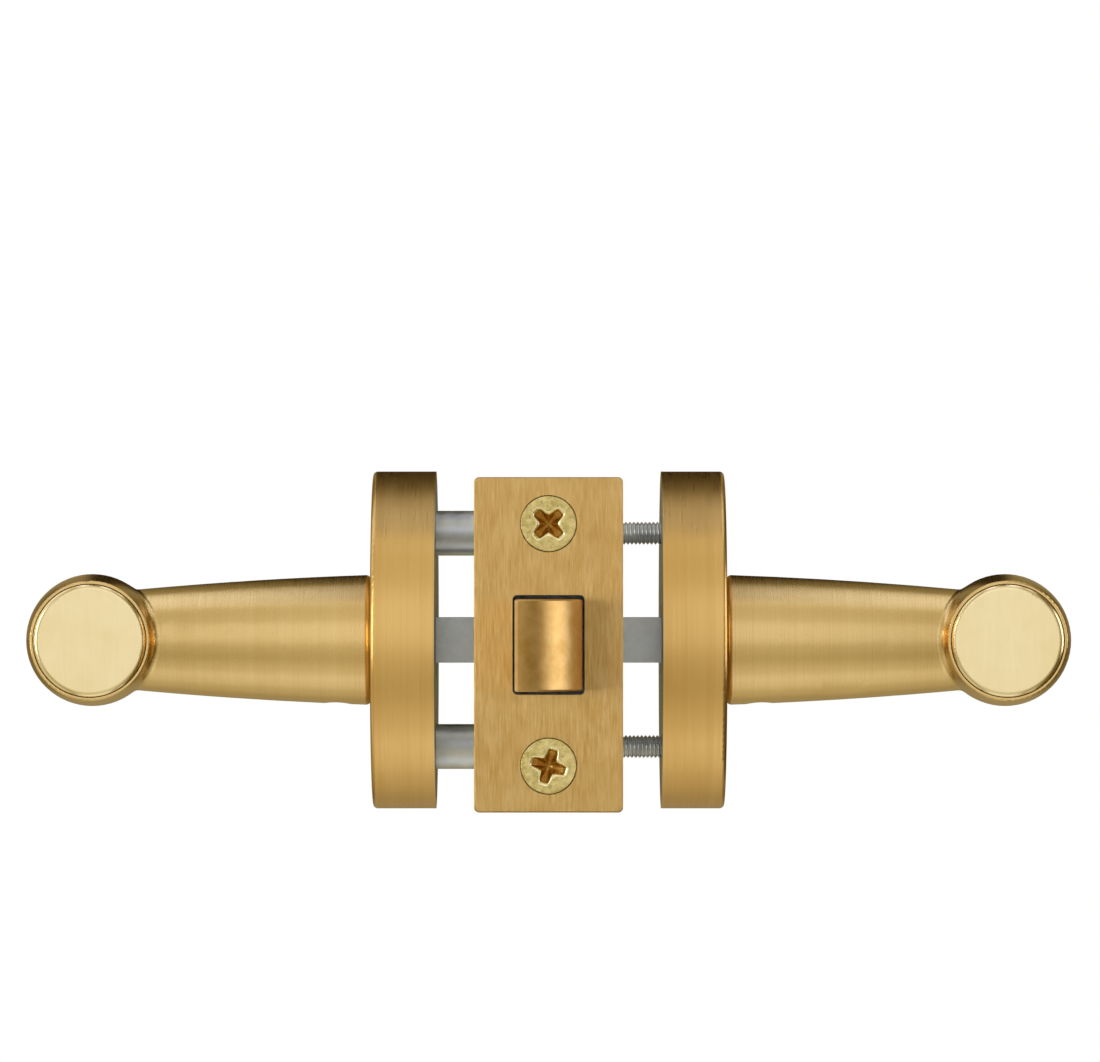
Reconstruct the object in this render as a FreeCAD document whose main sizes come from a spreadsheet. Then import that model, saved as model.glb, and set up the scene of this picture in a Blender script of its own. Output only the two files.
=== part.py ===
import FreeCAD, Part
import math
import os

import Sketcher

# Tubular latch with its pair of lever handles, as it sits on a door.
# X runs through the door, from the left rose to the right one. Y runs from the
# door's edge into the door, and the bolt shoots towards -Y. Z is up.
# The origin is on the latch's axis, on the rear face of the backing plate.

Vector = FreeCAD.Vector
doc = FreeCAD.newDocument("TubularLatchSet")
sheet = doc.addObject("Spreadsheet::Sheet", "Sizes")
pieces = []


# Sizes

class Size:
    """A number together with the spreadsheet expression that gives it."""

    def __init__(self, number, text):
        self.number = float(number)
        self.text = text

    def with_other(self, sign, other, number):
        return Size(number, f"({self.text} {sign} {text_of(other)})")

    def __add__(self, other):
        return self.with_other("+", other, self.number + number_of(other))

    def __sub__(self, other):
        return self.with_other("-", other, self.number - number_of(other))

    def __mul__(self, other):
        return self.with_other("*", other, self.number * number_of(other))

    def __truediv__(self, other):
        return self.with_other("/", other, self.number / number_of(other))

    def __neg__(self):
        return self * -1


def number_of(value):
    return value.number if isinstance(value, Size) else float(value)


def text_of(value):
    return value.text if isinstance(value, Size) else str(float(value))


def sine(angle):
    return Size(math.sin(math.radians(angle.number)), f"sin({angle.text})")


def cosine(angle):
    return Size(math.cos(math.radians(angle.number)), f"cos({angle.text})")


def square_root(value):
    return Size(math.sqrt(value.number), f"sqrt({value.text})")


def size(alias, number):
    """Writes one driving dimension into the next row of the spreadsheet."""
    row = size.rows = getattr(size, "rows", 0) + 1
    sheet.set(f"A{row}", alias.replace("_", " "))
    sheet.set(f"B{row}", str(number))
    sheet.setAlias(f"B{row}", alias)
    return Size(number, f"Sizes.{alias}")


# The door that the set is made for
door_thickness = size("door_thickness", 40.0)
backset = size("backset", 60.0)

# Running and fitting clearances
running_gap = size("running_gap", 0.08)
side_gap = size("side_gap", 0.2)
seat_gap = size("seat_gap", 0.05)

# Faceplate and backing plate
plate_width = size("plate_width", 25.4)
plate_height = size("plate_height", 57.15)
plate_thickness = size("plate_thickness", 2.4)
plate_corner = size("plate_corner", 0.9)
plate_edge_round = size("plate_edge_round", 0.25)
backing_margin = size("backing_margin", 0.4)
backing_thickness = size("backing_thickness", 1.6)
opening_side_gap = size("opening_side_gap", 0.4)
opening_end_gap = size("opening_end_gap", 0.7)
opening_corner = size("opening_corner", 0.85)
backing_opening_extra = size("backing_opening_extra", 0.8)
tube_seat_depth = size("tube_seat_depth", 0.4)

# Wood screws of the faceplate
screw_margin = size("screw_margin", 7.925)
screw_head_radius = size("screw_head_radius", 4.75)
screw_head_land = size("screw_head_land", 0.3)
screw_neck_radius = size("screw_neck_radius", 1.9)
screw_thread_radius = size("screw_thread_radius", 2.25)
screw_length = size("screw_length", 24.0)
screw_point = size("screw_point", 5.0)
screw_sink_gap = size("screw_sink_gap", 0.12)
recess_span = size("recess_span", 5.3)
recess_wing = size("recess_wing", 1.35)
recess_foot_span = size("recess_foot_span", 2.6)
recess_foot_wing = size("recess_foot_wing", 0.9)
recess_depth = size("recess_depth", 2.4)
upper_recess_turn = size("upper_recess_turn", 45.0)
lower_recess_turn = size("lower_recess_turn", 17.0)

# Latch tube and the stop inside it
tube_clearance = size("tube_clearance", 1.0)
tube_wall = size("tube_wall", 1.2)
tube_length = size("tube_length", 31.0)
stop_clearance = size("stop_clearance", 0.5)
stop_thickness = size("stop_thickness", 2.0)
stop_tab_width = size("stop_tab_width", 5.0)

# Bolt and its stem
bolt_width = size("bolt_width", 11.5)
bolt_height = size("bolt_height", 15.6)
bolt_projection = size("bolt_projection", 10.6)
bolt_tail = size("bolt_tail", 9.0)
bolt_tip_land = size("bolt_tip_land", 0.55)
bolt_heel_projection = size("bolt_heel_projection", 0.4)
bevel_radius = size("bevel_radius", 14.5)
bolt_edge_round = size("bolt_edge_round", 0.35)
stem_radius = size("stem_radius", 2.5)
stem_socket_depth = size("stem_socket_depth", 4.6)
tenon_radius = size("tenon_radius", 1.5)
rivet_head_radius = size("rivet_head_radius", 2.2)
rivet_head_height = size("rivet_head_height", 0.8)

# Hub, and the turn that it shares with the levers
handle_turn = size("handle_turn", 62.0)
hub_collar_radius = size("hub_collar_radius", 8.0)
hub_wall = size("hub_wall", 1.25)
horn_overlap = size("horn_overlap", 1.6)
horn_tip_radius = size("horn_tip_radius", 1.1)
horn_thickness = size("horn_thickness", 4.0)

# Latch case
cheek_inner = size("cheek_inner", 5.0)
cheek_thickness = size("cheek_thickness", 1.5)
cheek_half_height = size("cheek_half_height", 10.4)
cheek_tongue_gap = size("cheek_tongue_gap", 0.45)
cheek_tongue_length = size("cheek_tongue_length", 4.5)
cheek_corner = size("cheek_corner", 3.0)
case_rear = size("case_rear", 15.5)
case_rivet_inset = size("case_rivet_inset", 3.6)
case_rivet_half_spacing = size("case_rivet_half_spacing", 6.4)
case_rivet_radius = size("case_rivet_radius", 1.4)
case_spacer_radius = size("case_spacer_radius", 2.2)
case_rivet_head_radius = size("case_rivet_head_radius", 2.4)
case_rivet_head_height = size("case_rivet_head_height", 0.7)

# Draw fork, which the hub's horns pull back
fork_thickness = size("fork_thickness", 1.8)
fork_side_gap = size("fork_side_gap", 0.3)
fork_collar_gap = size("fork_collar_gap", 1.0)
fork_arm_width = size("fork_arm_width", 2.4)
fork_web_width = size("fork_web_width", 4.2)
fork_ear_half_height = size("fork_ear_half_height", 4.8)
fork_lug_thickness = size("fork_lug_thickness", 1.8)
fork_lug_gap = size("fork_lug_gap", 0.25)
fork_stop_gap = size("fork_stop_gap", 0.3)
fork_inner_corner = size("fork_inner_corner", 1.0)

# Spring behind the bolt
bolt_spring_radius = size("bolt_spring_radius", 5.2)
bolt_spring_wire = size("bolt_spring_wire", 1.0)
bolt_spring_turns = size("bolt_spring_turns", 6.0)

# Spindle
spindle_side = size("spindle_side", 8.0)
spindle_length = size("spindle_length", 96.0)
spindle_chamfer = size("spindle_chamfer", 0.6)
square_gap = size("square_gap", 0.05)

# Roses
rose_radius = size("rose_radius", 30.0)
rose_depth = size("rose_depth", 11.2)
rose_wall = size("rose_wall", 1.5)
rose_front_wall = size("rose_front_wall", 1.6)
rose_edge_round = size("rose_edge_round", 0.8)
bush_wall = size("bush_wall", 1.5)
bush_flange_width = size("bush_flange_width", 2.4)
bush_flange_thickness = size("bush_flange_thickness", 0.8)

# Base plates, which carry the roses and the return springs
base_gap = size("base_gap", 0.3)
base_thickness = size("base_thickness", 2.0)
spindle_clearance = size("spindle_clearance", 0.75)
pocket_clearance = size("pocket_clearance", 1.15)
pocket_wall = size("pocket_wall", 1.3)
bush_clearance = size("bush_clearance", 0.35)
fixing_gap = size("fixing_gap", 0.2)

# Spring carriers
carrier_radius = size("carrier_radius", 9.4)
carrier_flange_radius = size("carrier_flange_radius", 10.2)
carrier_flange_thickness = size("carrier_flange_thickness", 1.2)
carrier_tab_width = size("carrier_tab_width", 4.0)
carrier_lug_gap = size("carrier_lug_gap", 0.25)
carrier_lug_depth = size("carrier_lug_depth", 3.4)
return_spring_gap = size("return_spring_gap", 0.35)
return_spring_wire = size("return_spring_wire", 1.3)
return_spring_whole_turns = size("return_spring_whole_turns", 2.0)
return_spring_lag = size("return_spring_lag", 12.0)
fixed_leg_length = size("fixed_leg_length", 9.0)
moving_leg_length = size("moving_leg_length", 4.9)

# Sleeves and machine screws that clamp the two base plates on the door
sleeve_radius = size("sleeve_radius", 4.0)
sleeve_bore_radius = size("sleeve_bore_radius", 2.15)
sleeve_length = size("sleeve_length", 22.0)
sleeve_head_radius = size("sleeve_head_radius", 4.5)
sleeve_head_height = size("sleeve_head_height", 1.2)
clamp_screw_radius = size("clamp_screw_radius", 2.0)
clamp_screw_length = size("clamp_screw_length", 36.0)
clamp_head_radius = size("clamp_head_radius", 3.8)
clamp_head_height = size("clamp_head_height", 2.4)

# Levers
lever_gap = size("lever_gap", 0.35)
spigot_radius = size("spigot_radius", 8.5)
spigot_length = size("spigot_length", 2.6)
neck_root_radius = size("neck_root_radius", 11.55)
neck_root_round = size("neck_root_round", 1.0)
neck_end_radius = size("neck_end_radius", 8.2)
neck_bow_radius = size("neck_bow_radius", 700.0)
grip_place = size("grip_place", 61.15)
grip_radius = size("grip_radius", 11.75)
grip_front = size("grip_front", 11.2)
grip_lip_radius = size("grip_lip_radius", 10.65)
grip_lip_round = size("grip_lip_round", 0.25)
grip_crest = size("grip_crest", 2.0)
grip_length = size("grip_length", 104.0)
grip_end_radius = size("grip_end_radius", 8.2)
grip_end_round = size("grip_end_round", 3.0)
grip_bore_radius = size("grip_bore_radius", 5.6)
grip_end_wall = size("grip_end_wall", 12.0)
neck_fillet = size("neck_fillet", 1.6)
socket_end_gap = size("socket_end_gap", 3.0)
cap_seat_wall = size("cap_seat_wall", 0.6)
cap_round = size("cap_round", 0.95)
cap_height = size("cap_height", 2.6)
cap_proud = size("cap_proud", 0.55)
cap_spigot_gap = size("cap_spigot_gap", 0.2)
cap_spigot_length = size("cap_spigot_length", 5.0)
grub_setback = size("grub_setback", 5.95)
grub_radius = size("grub_radius", 2.4)
grub_length = size("grub_length", 5.0)
grub_key_side = size("grub_key_side", 2.5)
grub_key_depth = size("grub_key_depth", 2.0)
doc.recompute()

# Sizes and places that follow from these: the latch
door_half = door_thickness / 2
plate_front = backing_thickness + plate_thickness
spindle_place = backset - plate_front
screw_spacing = plate_height - screw_margin * 2
opening_width = bolt_width + opening_side_gap * 2
opening_height = bolt_height + opening_end_gap * 2
bolt_rear = bolt_tail - plate_front
tube_bore = square_root(bolt_width * bolt_width + bolt_height * bolt_height) / 2 + tube_clearance
tube_radius = tube_bore + tube_wall
stop_place = tube_length - cheek_tongue_length - stop_clearance - stop_thickness
tongue_corner = tube_bore - cheek_tongue_gap
cheek_outer = cheek_inner + cheek_thickness
cheek_tongue_half_height = square_root(tongue_corner * tongue_corner - cheek_outer * cheek_outer)
case_length = spindle_place + case_rear
spindle_reach = spindle_side * math.sqrt(0.5)
socket_side = spindle_side + square_gap * 2
hub_boss_radius = spindle_reach + hub_wall

# The fork is drawn back by as much as a horn's tip moves against its lug
half_turn = handle_turn / 2
fork_arm_inner = hub_collar_radius + fork_collar_gap
fork_arm_outer = fork_arm_inner + fork_arm_width
horn_reach = fork_arm_inner + horn_overlap
corner_contact = fork_arm_inner * sine(half_turn) / cosine(half_turn)
bolt_travel = (
    horn_reach * sine(half_turn) + corner_contact + horn_tip_radius - horn_tip_radius / cosine(half_turn)
)
lug_face = spindle_place - corner_contact + horn_tip_radius / cosine(half_turn) + fork_lug_gap
ear_front = stop_place + stop_thickness + fork_stop_gap

# Sizes and places that follow from these: the roses and levers
rose_hole_radius = spigot_radius + bush_wall
bush_flange_radius = rose_hole_radius + bush_flange_width
bush_back = rose_depth - rose_front_wall - seat_gap - bush_flange_thickness
pocket_depth = bush_back - bush_clearance - side_gap - base_thickness
base_hole_radius = spindle_reach + spindle_clearance
return_spring_radius = carrier_flange_radius + return_spring_gap + return_spring_wire / 2
coil_outside = return_spring_radius + return_spring_wire / 2
pocket_radius = coil_outside + pocket_clearance
carrier_lug_inner = coil_outside + carrier_lug_gap
carrier_tab_reach = pocket_radius + pocket_wall - seat_gap * 2
fixing_spacing = (pocket_radius + pocket_wall + fixing_gap + sleeve_head_radius) * 2
spindle_end = spindle_length / 2 - door_half
grub_place = rose_depth + lever_gap + grub_setback
cap_radius = grip_lip_radius - cap_seat_wall
cap_spigot_radius = grip_bore_radius - cap_spigot_gap
grip_bore_length = grip_length - grip_end_wall


# Ways of making a feature

def new_body(label):
    """A named piece, which is exported."""
    body = doc.addObject("PartDesign::Body", label)
    body.Label = label
    pieces.append(body)
    return body


def place(thing, x=0, y=0, z=0, turn=0, axis=Vector(0, 1, 0)):
    """Sets a piece down, turned about an axis through its own origin."""
    spot = Vector(number_of(x), number_of(y), number_of(z))
    thing.Placement = FreeCAD.Placement(spot, FreeCAD.Rotation(axis, number_of(turn)))
    for name, value in (("x", x), ("y", y), ("z", z)):
        if isinstance(value, Size):
            thing.setExpression(f".Placement.Base.{name}", value.text)


def set_size(thing, name, value):
    if isinstance(value, Size):
        thing.setExpression(name, value.text)
    else:
        setattr(thing, name, value)


def sketch_on(body, role, name, lift=0, right=0, up=0):
    """A sketch on one of the body's origin planes, moved within it and along its normal."""
    plane = next(item for item in body.Origin.OriginFeatures if item.Role == role)
    sketch = body.newObject("Sketcher::SketchObject", name)
    sketch.AttachmentSupport = [(plane, "")]
    sketch.MapMode = "FlatFace"
    shift = Vector(number_of(right), number_of(up), number_of(lift))
    sketch.AttachmentOffset = FreeCAD.Placement(shift, FreeCAD.Rotation())
    for axis, value in (("x", right), ("y", up), ("z", lift)):
        if isinstance(value, Size):
            sketch.setExpression(f".AttachmentOffset.Base.{axis}", value.text)
    return sketch


def hold(sketch, kind, value, *where):
    """Adds one dimension to a sketch and ties it to its size."""
    index = sketch.addConstraint(Sketcher.Constraint(kind, *where, number_of(value)))
    if isinstance(value, Size):
        sketch.setExpression(f"Constraints[{index}]", value.text)


def arc_between(here, there, bend):
    """The shorter arc between two points; a positive bend bulges to the right of the way."""
    chord = there - here
    left = Vector(-chord.y, chord.x, 0).normalize()
    height = math.sqrt(bend * bend - chord.Length * chord.Length / 4)
    centre = (here + there) / 2 + left * math.copysign(height, bend)
    first, last = (here, there) if bend > 0 else (there, here)
    start = math.atan2(first.y - centre.y, first.x - centre.x)
    end = math.atan2(last.y - centre.y, last.x - centre.x)
    if end < start:
        end += 2 * math.pi
    return Part.ArcOfCircle(Part.Circle(centre, Vector(0, 0, 1), abs(bend)), start, end)


def outline(sketch, corners, bends=None):
    """A closed loop through the corners. Bends gives the signed radius of each curved edge."""
    bends = bends or {}
    spots = [Vector(number_of(x), number_of(y), 0) for x, y in corners]
    edges = []
    for index, here in enumerate(spots):
        there = spots[(index + 1) % len(spots)]
        if index in bends:
            bend = number_of(bends[index])
            edge = sketch.addGeometry(arc_between(here, there, bend))
            edges.append((edge, 1, 2) if bend > 0 else (edge, 2, 1))
        else:
            edges.append((sketch.addGeometry(Part.LineSegment(here, there)), 1, 2))
    for index, (edge, first, _) in enumerate(edges):
        before, _, last = edges[index - 1]
        sketch.addConstraint(Sketcher.Constraint("Coincident", before, last, edge, first))
        hold(sketch, "DistanceX", corners[index][0], edge, first)
        hold(sketch, "DistanceY", corners[index][1], edge, first)
    for index, bend in bends.items():
        radius = bend if number_of(bend) > 0 else bend * -1
        hold(sketch, "Radius", radius, edges[index][0])


def circle(sketch, radius, x=0, y=0):
    centre = Vector(number_of(x), number_of(y), 0)
    edge = sketch.addGeometry(Part.Circle(centre, Vector(0, 0, 1), number_of(radius)))
    hold(sketch, "Radius", radius, edge)
    hold(sketch, "DistanceX", x, edge, 3)
    hold(sketch, "DistanceY", y, edge, 3)


def rectangle(sketch, left, bottom, right, top):
    outline(sketch, [(left, bottom), (right, bottom), (right, top), (left, top)])


def rounded_rectangle(sketch, width, height, radius):
    """A centred rectangle whose corners are quarter circles."""
    side = width / 2
    top = height / 2
    across = side - radius
    along = top - radius
    corners = [
        (-across, -top), (across, -top), (side, -along), (side, along),
        (across, top), (-across, top), (-side, along), (-side, -along),
    ]
    outline(sketch, corners, {1: radius, 3: radius, 5: radius, 7: radius})


def cross(sketch, span, wing):
    """A plus sign: span is tip to tip, wing is the width of its arms."""
    far = span / 2
    near = wing / 2
    corners = [
        (far, -near), (far, near), (near, near), (near, far), (-near, far), (-near, near),
        (-far, near), (-far, -near), (-near, -near), (-near, -far), (near, -far), (near, -near),
    ]
    outline(sketch, corners)


def leaning_bar(sketch, inner, outer, side, way):
    """A radial bar from one radius to another, leaning by half the turn towards the door's edge."""
    lean_y = sine(half_turn)
    lean_z = cosine(half_turn)
    corners = []
    for out, edge in ((inner, -1), (outer, -1), (outer, 1), (inner, 1)):
        across = side * edge
        corners.append((-lean_y * out - lean_z * across, (lean_z * out - lean_y * across) * way))
    outline(sketch, corners)


def pad(body, sketch, name, length, both_ways=False, back=False):
    feature = body.newObject("PartDesign::Pad", name)
    feature.Profile = sketch
    set_size(feature, "Length", length)
    if both_ways:
        feature.SideType = "Symmetric"
    feature.Reversed = back
    return feature


def pocket(body, sketch, name, length=None, back=False, both_ways=False):
    """A cut from the sketch, right through where no length is given."""
    feature = body.newObject("PartDesign::Pocket", name)
    feature.Profile = sketch
    if length is None:
        feature.Type = "ThroughAll"
    else:
        set_size(feature, "Length", length)
    if both_ways:
        feature.SideType = "Symmetric"
    feature.Reversed = back
    return feature


def revolve(body, sketch, name, axis="H_Axis", cut=False):
    kind = "PartDesign::Groove" if cut else "PartDesign::Revolution"
    feature = body.newObject(kind, name)
    feature.Profile = sketch
    feature.ReferenceAxis = (sketch, [axis])
    feature.Angle = 360
    return feature


def round_edges(body, base, name, radius, wanted, kind="PartDesign::Fillet"):
    """Rounds or chamfers the base feature's edges that the wanted function picks."""
    doc.recompute()
    names = [f"Edge{index}" for index, edge in enumerate(base.Shape.Edges, 1) if wanted(edge)]
    feature = body.newObject(kind, name)
    feature.Base = (base, names)
    set_size(feature, "Size" if kind.endswith("Chamfer") else "Radius", radius)
    return feature


def along(edge, axis):
    """Whether a straight edge runs along an axis."""
    if edge.Curve.TypeId != "Part::GeomLine":
        return False
    return abs(edge.Curve.Direction.dot(axis)) > 0.999


def at_height(edge, axis, height):
    """Whether a whole edge lies at one height along an axis."""
    box = edge.BoundBox
    low = Vector(box.XMin, box.YMin, box.ZMin).dot(axis)
    high = Vector(box.XMax, box.YMax, box.ZMax).dot(axis)
    return abs(low - height) < 0.001 and abs(high - height) < 0.001


def group(label, members):
    """Like pieces that share one name, each still a solid of its own."""
    compound = doc.addObject("Part::Compound", label)
    compound.Label = label
    compound.Links = members
    for member in members:
        if member in pieces:
            pieces.remove(member)
    pieces.append(compound)
    return compound


# Faceplate and backing plate

def faceplate():
    """Flat plate with two countersunk holes and the bolt's opening."""
    body = new_body("faceplate")
    face = sketch_on(body, "XZ_Plane", "plate_outline", lift=backing_thickness)
    rounded_rectangle(face, plate_width, plate_height, plate_corner)
    plate = pad(body, face, "plate", plate_thickness)
    front = -number_of(plate_front)
    round_edges(
        body, plate, "edge_round", plate_edge_round, lambda edge: at_height(edge, Vector(0, 1, 0), front)
    )
    window = sketch_on(body, "XZ_Plane", "bolt_opening_outline", lift=plate_front)
    rounded_rectangle(window, opening_width, opening_height, opening_corner)
    pocket(body, window, "bolt_opening")
    for name, side in (("upper", 1), ("lower", -1)):
        sink = sketch_on(body, "XY_Plane", f"{name}_sink_outline", lift=screw_spacing / 2 * side)
        wide = screw_head_radius + screw_sink_gap
        narrow = screw_thread_radius + screw_sink_gap
        shoulder = screw_head_land - plate_front
        corners = [
            (0, -plate_front), (wide, -plate_front), (wide, shoulder),
            (narrow, shoulder + wide - narrow), (narrow, 0), (0, 0),
        ]
        outline(sink, corners)
        revolve(body, sink, f"{name}_sink", axis="V_Axis", cut=True)


def backing_plate():
    """Steel plate behind the faceplate, with a shallow round seat in which the tube stands."""
    body = new_body("backing_plate")
    face = sketch_on(body, "XZ_Plane", "plate_outline")
    rounded_rectangle(
        face, plate_width - backing_margin * 2, plate_height - backing_margin * 2, plate_corner
    )
    pad(body, face, "plate", backing_thickness)
    window = sketch_on(body, "XZ_Plane", "opening_outline", lift=backing_thickness)
    wide = opening_width + backing_opening_extra
    tall = opening_height + backing_opening_extra
    rounded_rectangle(window, wide, tall, opening_corner)
    pocket(body, window, "opening")
    holes = sketch_on(body, "XZ_Plane", "screw_hole_outline", lift=backing_thickness)
    for side in (1, -1):
        circle(holes, screw_thread_radius + screw_sink_gap * 2 + screw_head_land, 0, screw_spacing / 2 * side)
    pocket(body, holes, "screw_holes")
    seat = sketch_on(body, "XZ_Plane", "tube_seat_outline")
    circle(seat, tube_radius + seat_gap)
    pocket(body, seat, "tube_seat", tube_seat_depth, back=True)


def wood_screw(label):
    """Countersunk cross-recess screw, its face on its own XZ plane and its thread behind the plates."""
    body = new_body(label)
    profile = sketch_on(body, "XY_Plane", "profile")
    cone = screw_head_land + screw_head_radius - screw_neck_radius
    corners = [
        (0, 0), (screw_head_radius, 0), (screw_head_radius, screw_head_land), (screw_neck_radius, cone),
        (screw_neck_radius, plate_front), (screw_thread_radius, plate_front),
        (screw_thread_radius, screw_length - screw_point), (0, screw_length),
    ]
    outline(profile, corners)
    revolve(body, profile, "turned_blank", axis="V_Axis")
    mouth = sketch_on(body, "XZ_Plane", "recess_mouth")
    cross(mouth, recess_span, recess_wing)
    foot = sketch_on(body, "XZ_Plane", "recess_foot", lift=-recess_depth)
    cross(foot, recess_foot_span, recess_foot_wing)
    recess = body.newObject("PartDesign::SubtractiveLoft", "recess")
    recess.Profile = mouth
    recess.Sections = [foot]
    recess.Ruled = True
    return body


def faceplate_screws():
    """The upper and lower wood screws, their recesses stopped at different turns."""
    screws = []
    for name, side, turn in (("upper", 1, upper_recess_turn), ("lower", -1, lower_recess_turn)):
        screw = wood_screw(f"{name}_wood_screw")
        place(screw, y=-plate_front, z=screw_spacing / 2 * side, turn=turn)
        screws.append(screw)
    group("faceplate_screws", screws)


# Latch tube, bolt and case

def latch_tube():
    """Round tube with two windows for the stop's tabs."""
    body = new_body("latch_tube")
    front = tube_seat_depth - seat_gap
    ring = sketch_on(body, "XZ_Plane", "ring", lift=front)
    circle(ring, tube_radius)
    circle(ring, tube_bore)
    pad(body, ring, "tube", tube_length + front, back=True)
    window = sketch_on(body, "XY_Plane", "window_outline")
    side = stop_tab_width / 2 + seat_gap
    rectangle(window, -side, stop_place - seat_gap, side, stop_place + stop_thickness + seat_gap)
    pocket(body, window, "windows", tube_radius * 3, both_ways=True)


def spring_stop():
    """Disc fixed across the tube: the spring bears on it and the stem runs through it."""
    body = new_body("spring_stop")
    disc = sketch_on(body, "XZ_Plane", "disc_outline", lift=-stop_place)
    circle(disc, tube_bore - seat_gap)
    pad(body, disc, "disc", stop_thickness, back=True)
    tabs = sketch_on(body, "XZ_Plane", "tab_outline", lift=-stop_place)
    side = stop_tab_width / 2
    reach = tube_radius - side_gap
    rectangle(tabs, -side, -reach, side, reach)
    pad(body, tabs, "tabs", stop_thickness, back=True)
    hole = sketch_on(body, "XZ_Plane", "stem_hole_outline", lift=-stop_place)
    circle(hole, stem_radius + running_gap)
    pocket(body, hole, "stem_hole", both_ways=True)


def latch_bolt():
    """Bolt with one flat side and a barrel-curved bevel on the other."""
    body = new_body("latch_bolt")
    top = sketch_on(body, "XY_Plane", "top_outline")
    side = bolt_width / 2
    tip = -(plate_front + bolt_projection)
    heel = -(plate_front + bolt_heel_projection)
    corners = [(-side, tip), (bolt_tip_land - side, tip), (side, heel), (side, bolt_rear), (-side, bolt_rear)]
    outline(top, corners, {1: bevel_radius})
    block = pad(body, top, "block", bolt_height, both_ways=True)
    high = number_of(bolt_height) / 2
    upright = Vector(0, 0, 1)
    round_edges(
        body, block, "edge_round", bolt_edge_round,
        lambda edge: at_height(edge, upright, high) or at_height(edge, upright, -high),
    )
    socket = sketch_on(body, "XZ_Plane", "stem_socket_outline", lift=-bolt_rear)
    circle(socket, stem_radius + seat_gap)
    pocket(body, socket, "stem_socket", stem_socket_depth, back=True)


def bolt_stem():
    """Turned rod from the bolt through the stop, riveted to the fork's ear."""
    body = new_body("bolt_stem")
    profile = sketch_on(body, "XY_Plane", "profile")
    front = bolt_rear - stem_socket_depth + seat_gap
    shoulder = ear_front - seat_gap
    ear_back = ear_front + fork_thickness + seat_gap
    corners = [
        (0, front), (stem_radius, front), (stem_radius, shoulder), (tenon_radius, shoulder),
        (tenon_radius, ear_back), (rivet_head_radius, ear_back),
        (rivet_head_radius, ear_back + rivet_head_height), (0, ear_back + rivet_head_height),
    ]
    outline(profile, corners)
    revolve(body, profile, "rod", axis="V_Axis")


def draw_fork():
    """Bent plate: an ear on the stem, two arms past the hub, and a lug on each arm's end."""
    body = new_body("draw_fork")
    inner = horn_thickness / 2 + fork_side_gap
    web = tube_length + side_gap * 2
    web_back = web + fork_web_width
    lug_back = lug_face + fork_lug_thickness
    flat = sketch_on(body, "YZ_Plane", "plate_outline", lift=inner)
    ear = fork_ear_half_height
    corners = [
        (ear_front, -ear), (web, -ear), (web, -fork_arm_outer), (lug_back, -fork_arm_outer),
        (lug_back, -fork_arm_inner), (web_back, -fork_arm_inner), (web_back, fork_arm_inner),
        (lug_back, fork_arm_inner), (lug_back, fork_arm_outer), (web, fork_arm_outer), (web, ear),
        (ear_front, ear),
    ]
    outline(flat, corners)
    pad(body, flat, "plate", fork_thickness)
    bent = sketch_on(body, "YZ_Plane", "lug_outline", lift=inner)
    for side in (1, -1):
        low = fork_arm_inner if side > 0 else -fork_arm_outer
        high = fork_arm_outer if side > 0 else -fork_arm_inner
        rectangle(bent, lug_face, low, lug_back, high)
    pad(body, bent, "lugs", inner + horn_thickness / 2, back=True)
    front = sketch_on(body, "YZ_Plane", "ear_outline", lift=inner)
    rectangle(front, ear_front, -ear, ear_front + fork_thickness, ear)
    ears = pad(body, front, "ear", inner * 2 + fork_thickness, back=True)
    corner_y = number_of(web_back)
    corner_z = number_of(fork_arm_inner)

    def inside_corner(edge):
        spot = edge.CenterOfMass
        return along(edge, Vector(1, 0, 0)) and abs(spot.y - corner_y) < 0.01 and (
            abs(abs(spot.z) - corner_z) < 0.01
        )

    round_edges(body, ears, "inner_corners", fork_inner_corner, inside_corner)
    hole = sketch_on(body, "XZ_Plane", "rivet_hole_outline", lift=-ear_front)
    circle(hole, tenon_radius + seat_gap)
    pocket(body, hole, "rivet_hole", fork_thickness * 2, both_ways=True)


def wire_spring(label, radius, wire, rise, turns, legs=(0, 0), flipped=False):
    """A coil about Z from its X axis upwards, with a straight leg off each end where one is given."""
    pitch = rise / turns
    helix = Part.makeHelix(pitch, rise, radius)
    forward = Vector(0, 2 * math.pi * radius, pitch).normalize()
    angle = math.degrees(2 * math.pi * turns)
    turned = FreeCAD.Rotation(Vector(0, 0, 1), angle)
    start = Vector(radius, 0, 0)
    end = turned.multVec(start) + Vector(0, 0, rise)
    first_leg, last_leg = legs
    tip = start - forward * first_leg
    edges = list(helix.Edges)
    if first_leg:
        edges.insert(0, Part.makeLine(tip, start))
    if last_leg:
        edges.append(Part.makeLine(end, end + turned.multVec(forward) * last_leg))
    section = Part.Wire([Part.makeCircle(wire / 2, tip, forward)])
    spring = doc.addObject("Part::Feature", label)
    spring.Label = label
    shape = Part.Wire(edges).makePipeShell([section], True, True)
    spring.Shape = shape.mirror(Vector(), Vector(0, 1, 0)) if flipped else shape
    pieces.append(spring)
    return spring


def bolt_spring():
    """Compression spring between the bolt and the stop."""
    wire = number_of(bolt_spring_wire)
    end_gap = number_of(seat_gap) * 2
    rise = number_of(stop_place - bolt_rear) - wire - end_gap * 2
    radius = number_of(bolt_spring_radius)
    spring = wire_spring("bolt_spring", radius, wire, rise, number_of(bolt_spring_turns))
    place(spring, y=bolt_rear + seat_gap * 2 + bolt_spring_wire / 2, turn=-90, axis=Vector(1, 0, 0))


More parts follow.
